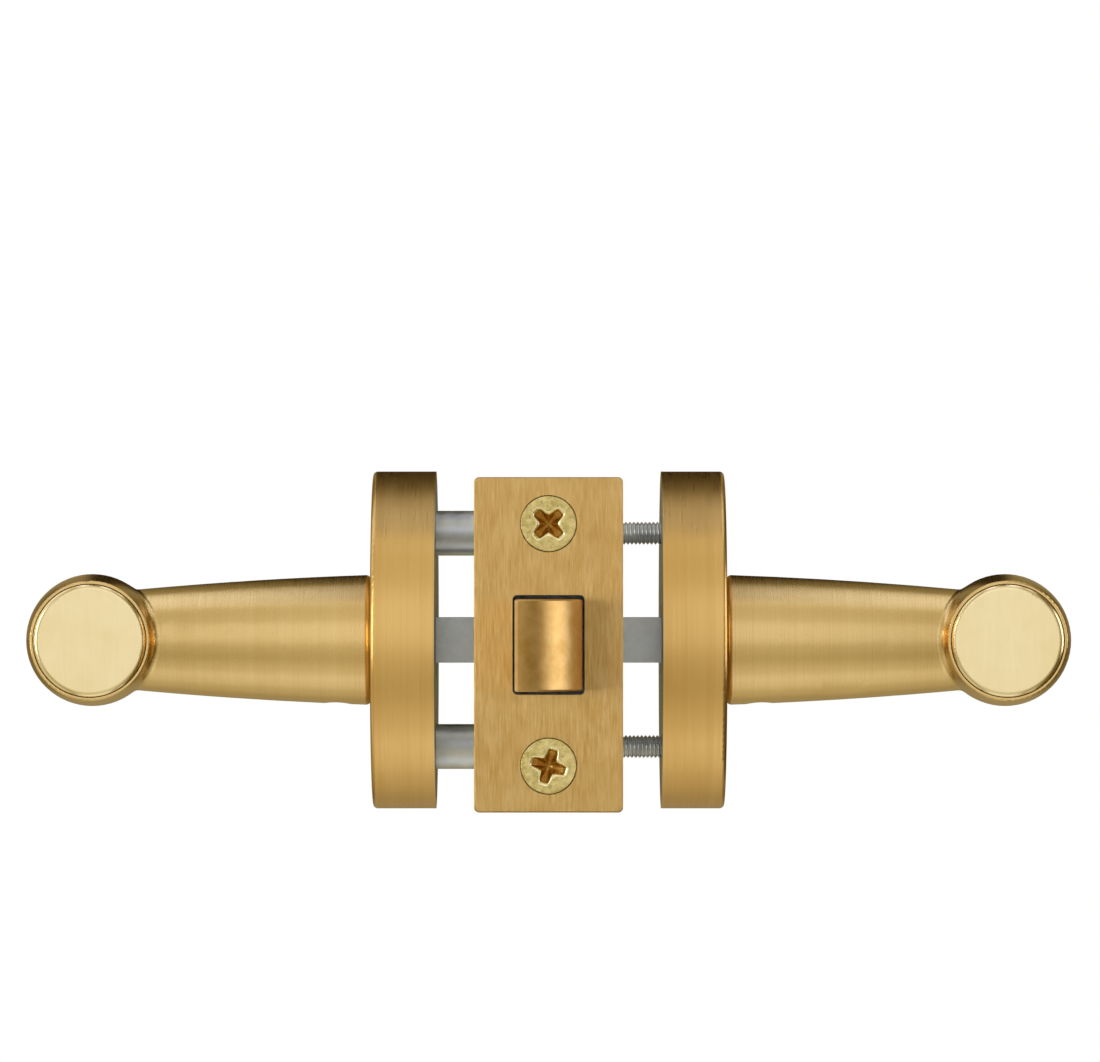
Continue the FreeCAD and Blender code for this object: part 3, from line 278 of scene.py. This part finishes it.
def metal(material, colour, sheen, roughness, relief, depth, coat=0.0, coat_roughness=0.1, anisotropy=0.0,
          tangent=None):
    """A bare or lacquered metal surface. The noise called sheen takes its roughness from the first
    to the second of a pair of values, and relief is a noise as high as depth, in metres."""
    rough = add_node(material, "MapRange", {"Value": sheen, "From Min": 0.3, "From Max": 0.7,
                                            "To Min": roughness[0], "To Max": roughness[1]})
    bump = add_node(material, "Bump", {"Height": relief, "Distance": depth, "Strength": 1.0})
    inputs = {"Base Color": colour, "Metallic": 1.0, "Roughness": rough.outputs[0],
              "Normal": bump.outputs[0], "Coat Weight": coat, "Coat Roughness": coat_roughness,
              "Anisotropic": anisotropy}
    if tangent is not None:
        inputs["Tangent"] = tangent
    surface = add_node(material, "BsdfPrincipled", inputs)
    add_node(material, "OutputMaterial", {"Surface": surface.outputs[0]})
    return material


# The grinding lines throw light far to the sides, so the brass has a broad soft sheen
# and shows no clear reflection. Real lines are some 0.08 mm apart and are drawn 0.24 mm
# apart, coarser than real, so that they show.
brushed, place = start_metal("brushed_brass")
lines = grains(brushed, place, 4200.0, (1.0, 1.0, 0.06))
cloud = grains(brushed, place, 260.0, (1.0, 1.0, 0.5))
worn = add_node(brushed, "Math", {0: lines, 1: cloud}, operation="ADD").outputs[0]
tone = blotched(brushed, worn, "#dfb468", "#eecb88", dark_at=0.75, light_at=1.25)
level_way = add_node(brushed, "CombineXYZ", {0: 1.0}).outputs[0]
metal(brushed, tone, lines, (0.56, 0.46), lines, 0.000012, coat=0.1, coat_roughness=0.3, anisotropy=1.0,
      tangent=level_way)
dress(brushed, "faceplate")


# Backing plate, latch tube and spring stop
# Mild steel pressings, zinc plated and clear passivated after forming, which
# leaves a pale grey skin with a faint blotchy haze.

# The eye sees a pale, blurred, slightly uneven grey. The crystals are drawn at 0.2 mm,
# coarser than real, so that they show.
zinc, place = start_metal("zinc_plated_steel")
haze = grains(zinc, place, 260.0)
crystals = grains(zinc, place, 5200.0)
tone = blotched(zinc, haze, "#b9bdc1", "#dadcdb")
metal(zinc, tone, haze, (0.3, 0.42), crystals, 0.000008)
dress(zinc, "backing_plate", "latch_tube", "spring_stop")


# Latch case
# Two cheeks blanked from steel strip and zinc plated, with tongues that reach into
# the tube. Shouldered spacers, whose ends are spun over, hold them apart.
dress(zinc, "case_cheek_left", "case_cheek_right", "case_rivets")


# Latch bolt
# Sintered to shape in brass, its bevel and sides shot blasted to a fine matt
# and then lacquered.

# Blasting makes the brass matt, and a lamp shows on it as a wide soft stripe. The dimples
# are drawn at 0.28 mm, about three times too coarse, so that they show.
blasted, place = start_metal("blasted_brass")
dimples = grains(blasted, place, 3600.0)
cloud = grains(blasted, place, 300.0)
tone = blotched(blasted, cloud, "#cc9c4a", "#e4bd76")
metal(blasted, tone, dimples, (0.32, 0.42), dimples, 0.00003, coat=0.7, coat_roughness=0.3)
dress(blasted, "latch_bolt")


# Stem, draw fork and hub
# The stem is turned from steel bar and headed over in the fork, which is
# blanked from strip. The hub is pressed and sintered from steel powder.
dress(zinc, "bolt_stem", "draw_fork")
# A dry dark grey with patches of oil. The pores are drawn at 0.24 mm, coarser than real.
sintered, place = start_metal("sintered_steel")
pores = grains(sintered, place, 4200.0)
oil = grains(sintered, place, 240.0)
tone = blotched(sintered, oil, "#54524e", "#75726c")
metal(sintered, tone, pores, (0.38, 0.55), pores, 0.00003)
dress(sintered, "hub")


# Springs
# Patented carbon steel wire, drawn, coiled cold and tempered, which leaves a thin
# blue-grey film. The bolt's spring has closed ends; in the lock it shortens as the bolt goes in, here it
# is drawn at one length.

# Smooth and fairly glossy, darker where the film is thick. The marks of the drawing die
# are drawn at 0.17 mm, coarser than real.
wire, place = start_metal("spring_steel")
film = grains(wire, place, 500.0)
die_marks = grains(wire, place, 6000.0)
tone = blotched(wire, film, "#6d6f74", "#8f8d88")
metal(wire, tone, die_marks, (0.22, 0.34), die_marks, 0.000005)
dress(wire, "return_spring_left", "return_spring_right")

coil_front, coil_back = 0.0051, 0.0239
coil_radius, wire_radius = 0.0052, 0.0005
coil_turns, closed_pitch = 6.5, 0.00102


def bolt_coil():
    """A tube carried along a helix, point = centre + wire radius * (cos b outward + sin b across).
    The pitch is one wire at both ends and opens over the first and last turn."""
    points_along, points_round = 421, 18
    share = np.linspace(0, 1, points_along)
    opening = np.clip(np.minimum(share, 1 - share) * coil_turns, 0, 1)
    lift = (np.cumsum(opening) - opening[0]) / opening.sum()
    closed = closed_pitch * coil_turns
    rise = coil_back - coil_front - 2 * wire_radius
    height = coil_front + wire_radius + closed * share + (rise - closed) * lift
    angle = 2 * np.pi * coil_turns * share
    outward = np.stack([np.sin(angle), angle * 0, np.cos(angle)], axis=-1)
    centre = coil_radius * outward + height[:, None] * np.array([0, 1, 0])
    forward = np.gradient(centre, axis=0)
    across = np.cross(forward / np.linalg.norm(forward, axis=1)[:, None], outward)
    bend = np.linspace(0, 2 * np.pi, points_round, endpoint=False)[None, :, None]
    ring = np.cos(bend) * outward[:, None] + np.sin(bend) * across[:, None]
    return ring_object("bolt_coil", centre[:, None] + wire_radius * ring)


coil = bolt_coil()
coil.data.materials.append(wire)
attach(coil, "fixed")
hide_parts("bolt_spring")
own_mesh(coil)


# Faceplate screws
# Countersunk wood screws, cold headed with a cross recess, thread rolled and
# then zinc plated yellow. Each has stopped at its own turn.
plate_front, screw_spread = -0.004, 0.02065
# Radii and lengths of the shank. Its thread starts where the plates end.
screw_neck, screw_root, screw_crest = 0.0019, 0.0015, 0.00225
screw_pitch, screw_length, screw_point = 0.002, 0.024, 0.005
thread_top, neck_end, ridge_half_width, blunt_point = 0.004, 0.0006, 0.24, 0.02
# The head, whose edge is rounded and ends in a short straight land over the cone.
screw_head, head_rounding, head_land = 0.00475, 0.00012, 0.0003
# The recess narrows from its mouth to its foot, and its lip is rolled over.
mouth_span, mouth_wing = 0.0028, 0.0008
foot_span, foot_wing = 0.0007, 0.0003
recess_depth, wall_depth, recess_lip = 0.0029, 0.0025, 0.00055
# A ring this near to an edge keeps it crisp, and the tip is cropped by a little.
edge_ring, tip_crop = 0.0002, 0.0001


def cross_reach(turn, half_span, half_wing):
    """Distance from the middle to the edge of a rounded cross. Each bar is the superellipse
    |cos a/span|^6 + |sin a/wing|^6 = 1. The two are joined by a soft maximum of power 2.6,
    which rounds the inner corners."""
    along, across = np.abs(np.cos(turn)), np.abs(np.sin(turn))
    flat = ((along / half_span) ** 6 + (across / half_wing) ** 6) ** (-1 / 6)
    upright = ((across / half_span) ** 6 + (along / half_wing) ** 6) ** (-1 / 6)
    return (flat ** 2.6 + upright ** 2.6) ** (1 / 2.6)


def stack_rings(turn, rows, radius, depth):
    """Whole arrays of radius and depth: first one ring for each pair in rows, whose two values are
    the same all round or given for each turn, and then the arrays of the shank."""
    return (np.concatenate([np.array([turn * 0 + row[0] for row in rows]), radius]),
            np.concatenate([np.array([turn * 0 + row[1] for row in rows]), depth + turn[None] * 0]))


def wood_screw(name, height, degrees):
    """Rows of polar rings from the bottom of the recess, up its walls, over the head and down the
    thread. In the thread the radius is root + rise * ridge(depth/pitch - turn/2 pi). The rings
    in the recess are marked for a painted shade, and those on its rim for a painted highlight."""
    points_round, thread_rows = 144, 150
    turn = np.linspace(0, 2 * np.pi, points_round, endpoint=False)
    mouth, foot = cross_reach(turn, mouth_span, mouth_wing), cross_reach(turn, foot_span, foot_wing)
    rows = [(foot * t, recess_depth - (recess_depth - wall_depth) * t) for t in (0.02, 0.4, 0.8, 1.0)]
    rows += [(foot + (mouth - foot) * t, wall_depth - (wall_depth - recess_lip) * t)
             for t in (0.15, 0.35, 0.6, 0.85, 0.98)]
    wall_end = len(rows)
    bend = np.radians([15, 30, 45, 60, 75, 90])
    rows += [(mouth + recess_lip * (1 - np.cos(b)), recess_lip * (1 - np.sin(b))) for b in bend]
    rim_end = len(rows)
    lip, edge = mouth + recess_lip, screw_head - head_rounding
    rows += [(lip + (edge - lip) * t, 0.0) for t in (0.05, 0.3, 0.6, 0.9, 1.0)]
    rows += [(edge + head_rounding * np.sin(b), head_rounding * (1 - np.cos(b))) for b in bend[1::2]]
    cone = screw_head - screw_neck
    rows += [(screw_head - cone * t, head_land + cone * t) for t in (0.0, 0.04, 0.5, 0.96, 1.0)]
    rows += [(screw_neck, head_land + cone + edge_ring)]
    run = np.linspace(thread_top - edge_ring, screw_length - tip_crop, thread_rows)[:, None]
    phase = np.mod(run / screw_pitch - turn[None] / (2 * np.pi), 1.0)
    ridge = np.clip(1 - np.abs(phase - 0.5) / ridge_half_width, 0, 1)
    root = np.where(run < thread_top + neck_end, screw_neck, screw_root)
    body = root + (screw_crest - root) * ridge * np.clip((run - thread_top) / screw_pitch, 0, 1)
    thread = body * np.clip((screw_length - run) / screw_point, blunt_point, 1)
    radius, depth = stack_rings(turn, rows, thread, run)
    spun = turn + math.radians(degrees)
    points = np.stack([radius * np.sin(spun), depth + plate_front, radius * np.cos(spun) + height],
                      axis=-1)
    screw = ring_object(name, points)
    # The recess rows are marked for painted shade, and the rim rows for a painted highlight.
    row = np.arange(len(points))
    for mark, marked in (("recess_painted_shade", row < wall_end), ("rim_painted_highlight", (row >= wall_end) & (row < rim_end))):
        values = np.append(np.repeat(marked, points_round), [marked[0], marked[-1]]).astype(np.float32)
        screw.data.attributes.new(mark, "FLOAT", "POINT").data.foreach_set("value", values)
    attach(screw, "fixed")
    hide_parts("faceplate_screws")
    return screw


# The passivated zinc is blotched in pale and deep straw about 1 mm across, with a few
# grey specks. The rim of the recess is painted near white, a painted highlight, and the
# recess itself brown, a painted shade. The grit is drawn at 0.24 mm, coarser than real.
yellow, place = start_metal("yellow_zinc_plate")
blotch = grains(yellow, place, 900.0)
specks = grains(yellow, place, 1500.0)
grit = grains(yellow, place, 4200.0)
specked = add_node(yellow, "MapRange", {"Value": specks, "From Min": 0.3, "From Max": 0.42,
                                        "To Min": 0.75, "To Max": 0.0})
# Painted shade: brown in the recess. Painted highlight: near white on its rim.
recess_painted_shade = add_node(yellow, "Attribute", attribute_name="recess_painted_shade")
rim_painted_highlight = add_node(yellow, "Attribute", attribute_name="rim_painted_highlight")
tone = blotched(yellow, blotch, "#baa55c", "#ead694")
for share, colour in ((specked.outputs[0], "#8c8160"), (recess_painted_shade.outputs["Fac"], "#c9a45c"),
                      (rim_painted_highlight.outputs["Fac"], "#fff6c4")):
    tone = add_node(yellow, "Mix", {0: share, 6: tone, 7: linear(colour)}, data_type="RGBA").outputs[2]
metal(yellow, tone, grit, (0.18, 0.38), grit, 0.00001, coat=0.2, coat_roughness=0.2)
for name, height, degrees in (("upper_faceplate_screw", screw_spread, 45),
                              ("lower_faceplate_screw", -screw_spread, 17)):
    wood_screw(name, height, degrees).data.materials.append(yellow)


# Spindle and sleeves
# Square steel bar cropped to length, and turned steel sleeves that take the
# machine screws from the other side, all zinc plated.
dress(zinc, "spindle", "fixing_sleeves")


# Clamp screws
# Cheese head machine screws, cold headed with a cross recess and thread rolled,
# then zinc plated. They draw the two base plates together.
clamp_top, clamp_length = 0.02445, 0.036
clamp_spread, spindle_height = 0.019, 0.056
clamp_crest, clamp_root, clamp_pitch = 0.002, 0.00165, 0.0007
clamp_plain, clamp_chamfer = 0.0015, 0.0008
clamp_flat_crest, clamp_flank = 1.25, 2.6
clamp_head, clamp_head_height, clamp_rounding = 0.0038, 0.0024, 0.0003
clamp_side, clamp_edge_ring = 0.0005, 0.0001
clamp_mouth_span, clamp_mouth_wing = 0.0023, 0.0006
clamp_foot_span, clamp_foot_wing = 0.0008, 0.0003
clamp_recess_depth, clamp_wall_depth, clamp_lip = 0.0013, 0.0012, 0.0001


def machine_screw(name, height):
    """Polar rings from the recess, over the head and along the shank. In the thread the radius is
    root + (crest - root) * ridge(depth/pitch - turn/2 pi), a triangle wave with a flat crest."""
    points_round, thread_rows = 64, 400
    turn = np.linspace(0, 2 * np.pi, points_round, endpoint=False)
    mouth = cross_reach(turn, clamp_mouth_span, clamp_mouth_wing)
    foot = cross_reach(turn, clamp_foot_span, clamp_foot_wing)
    rows = [(foot * t, clamp_recess_depth - (clamp_recess_depth - clamp_wall_depth) * t)
            for t in (0.02, 0.5, 1.0)]
    rows += [(foot + (mouth - foot) * t, clamp_wall_depth - (clamp_wall_depth - clamp_lip) * t)
             for t in (0.3, 0.7, 1.0)]
    lip, edge = mouth + clamp_lip, clamp_head - clamp_rounding
    rows += [(lip + (edge - lip) * t, 0.0) for t in (0.0, 0.1, 0.5, 0.95, 1.0)]
    rows += [(edge + clamp_rounding * np.sin(b), clamp_rounding * (1 - np.cos(b)))
             for b in np.radians([20, 45, 70, 90])]
    rows += [(clamp_head, t) for t in (clamp_side, clamp_head_height - clamp_edge_ring, clamp_head_height)]
    rows += [(r, clamp_head_height) for r in (clamp_head - clamp_edge_ring, clamp_crest)]
    run = np.linspace(clamp_head_height + clamp_edge_ring, clamp_length, thread_rows)[:, None]
    phase = np.mod(run / clamp_pitch - turn[None] / (2 * np.pi), 1.0)
    ridge = np.clip(clamp_flat_crest - np.abs(phase - 0.5) * clamp_flank, 0, 1)
    cut = np.clip((run - clamp_head_height - clamp_plain) / clamp_pitch, 0, 1)
    body = clamp_crest - (clamp_crest - clamp_root) * (1 - ridge) * cut
    shank = body - np.clip(run - clamp_length + clamp_chamfer, 0, 1)
    radius, depth = stack_rings(turn, rows, shank, run)
    points = np.stack([clamp_top - depth, spindle_height + radius * np.cos(turn),
                       height - radius * np.sin(turn)], axis=-1)
    screw = ring_object(name, points)
    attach(screw, "fixed")
    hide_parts("clamp_screws")
    return screw


for name, height in (("upper_clamp_screw", clamp_spread), ("lower_clamp_screw", -clamp_spread)):
    machine_screw(name, height).data.materials.append(zinc)


# Base plates and spring carriers
# The plates that the roses press on to, and the rings that wind the levers' springs.
# Both are die cast in zinc alloy, tumbled to break the edges and left uncoated.

# A dull blue-grey with slow marks where the metal flowed. The skin's grain is drawn at
# 0.4 mm, coarser than real.
cast, place = start_metal("die_cast_zinc")
flow = grains(cast, place, 180.0)
skin = grains(cast, place, 2400.0)
tone = blotched(cast, flow, "#9a9b9c", "#b4b4b2")
metal(cast, tone, flow, (0.36, 0.48), skin, 0.00002)
dress(cast, "base_plate_left", "base_plate_right", "spring_carrier_left", "spring_carrier_right")


# Rose bushes
# The bearings in which the levers turn, pressed into the roses. They are injection
# moulded in natural nylon, a warm white that lets a little light in.

# It looks waxy, with soft edges. The fine texture of the mould is drawn at 0.55 mm,
# coarser than real.
nylon = start(bpy.data.materials.new("natural_nylon"))
place = add_node(nylon, "TexCoord").outputs["Object"]
skin = grains(nylon, place, 1800.0)
relief = add_node(nylon, "Bump", {"Height": skin, "Distance": 0.00001, "Strength": 1.0})
plastic = add_node(nylon, "BsdfPrincipled", {"Base Color": linear("#e4dfcf"), "Roughness": 0.42,
                                             "Subsurface Weight": 0.2, "Subsurface Scale": 0.001,
                                             "Normal": relief.outputs[0]})
add_node(nylon, "OutputMaterial", {"Surface": plastic.outputs[0]})
dress(nylon, "rose_bush_left", "rose_bush_right")


# Rose covers
# Spun from brass sheet over a former, satin brushed in the lathe while turning,
# and lacquered, so that the fine lines run round the rose.
def spun_brass(name, dark, light, fineness, roughness):
    """Satin brass brushed in the lathe: the grain follows X and the radius from the spindle's axis,
    and changes only slowly on the way round. Its tone changes in bands six lines wide."""
    slow_round, band_lines = 0.03, 6
    material, place = start_metal(name)
    centred = add_node(material, "VectorMath", {0: place, 1: (0, spindle_height, 0)}, operation="SUBTRACT")
    across = add_node(material, "VectorMath", {0: centred.outputs[0], 1: (0, 1, 1)}, operation="MULTIPLY")
    radius = add_node(material, "VectorMath", {0: across.outputs[0]}, operation="LENGTH").outputs["Value"]
    parts = add_node(material, "SeparateXYZ", {0: centred.outputs[0]})
    round_way = add_node(material, "Math", {0: parts.outputs["Y"], 1: slow_round}, operation="MULTIPLY")
    lathe = add_node(material, "CombineXYZ", {0: parts.outputs["X"], 1: radius,
                                              2: round_way.outputs[0]})
    lines = grains(material, lathe.outputs[0], fineness)
    bands = grains(material, lathe.outputs[0], fineness / band_lines)
    tone = blotched(material, bands, dark, light)
    groove = add_node(material, "VectorMath", {0: (1, 0, 0), 1: centred.outputs[0]},
                      operation="CROSS_PRODUCT")
    groove = add_node(material, "VectorTransform", {0: groove.outputs[0]}, vector_type="VECTOR",
                      convert_from="OBJECT", convert_to="WORLD")
    shape = add_node(material, "NewGeometry")
    ridge = add_node(material, "VectorMath", {0: groove.outputs[0], 1: shape.outputs["Normal"]},
                     operation="CROSS_PRODUCT")
    return metal(material, tone, lines, roughness, lines, 0.000006, coat=0.1, coat_roughness=0.2,
                 anisotropy=0.5, tangent=ridge.outputs[0])


# Satin lines spread light along the axis, so the rose shows bands of light and shade that
# run across it with no hard edge. The lines are drawn 0.28 mm apart, coarser than real.
rose_brass = spun_brass("satin_brass_rose", "#e0b56c", "#e9c27a", 3600.0, (0.26, 0.36))
dress(rose_brass, "rose_cover_left", "rose_cover_right")


# Levers and end caps
# Cast brass, turned and linished, then satin brushed across the neck and
# lacquered. The caps are turned and pressed into the front ends of the grips.

# A finer satin than the rose's, paler and with clearer bands. Its lines are drawn 0.24 mm
# apart, coarser than real.
lever_brass = spun_brass("satin_brass_lever", "#e4c383", "#e9c98b", 4200.0, (0.22, 0.3))
dress(lever_brass, "lever_left", "lever_right")

# Nearly polished: a pale even disc with a faint grain, drawn 0.33 mm apart, coarser than real.
cap_brass, place = start_metal("satin_brass_cap")
lines = grains(cap_brass, place, 3000.0, (1.0, 0.2, 0.05))
cloud = grains(cap_brass, place, 120.0)
tone = blotched(cap_brass, cloud, "#f6e1ab", "#fbe9ba")
metal(cap_brass, tone, lines, (0.2, 0.26), lines, 0.000002, coat=0.4, coat_roughness=0.12)
dress(cap_brass, "end_cap_left", "end_cap_right")


# Grub screws
# Cup-point socket screws in alloy steel, hardened and black oxidised. They come up
# from below each neck and bear on the spindle.

# Nearly black with an oily sheen, in patches of about 0.7 mm.
black, place = start_metal("black_oxide_steel")
oxide = grains(black, place, 1500.0)
tone = blotched(black, oxide, "#1d1d1f", "#2e2d2d")
metal(black, tone, oxide, (0.3, 0.45), oxide, 0.000006)
dress(black, "grub_screw_left", "grub_screw_right")
